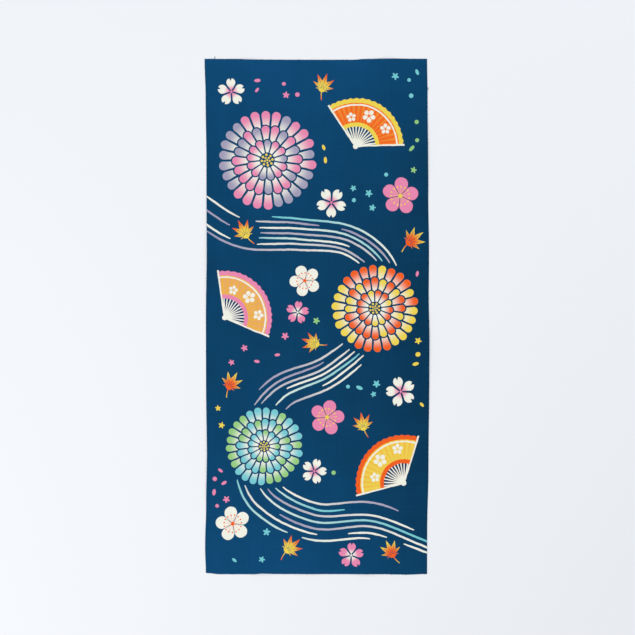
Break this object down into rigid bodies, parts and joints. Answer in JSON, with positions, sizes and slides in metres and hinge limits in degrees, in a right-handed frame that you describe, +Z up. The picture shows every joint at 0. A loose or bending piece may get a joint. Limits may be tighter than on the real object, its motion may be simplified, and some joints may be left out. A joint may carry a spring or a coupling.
{
  "type": "tenugui towel",
  "caption": "Flat rectangular length of thin dyed plain-weave cotton with woven selvedges and unhemmed cut ends, laid out with soft ripples.",
  "frame": {"origin": "middle of the underside, on the surface that the towel lies on", "axes": "+X across the cloth from the left selvedge to the right one, +Y along the cloth towards its upper cut end, +Z up out of the dyed face"},
  "size_m": [0.3838, 0.8816, 0.0026],
  "materials": {
    "cotton": "matt plain-weave cotton, dyed indigo blue with a pattern in several colours"
  },
  "bodies": {
    "root": {"towel": "cotton"}
  },
  "joints": []
}
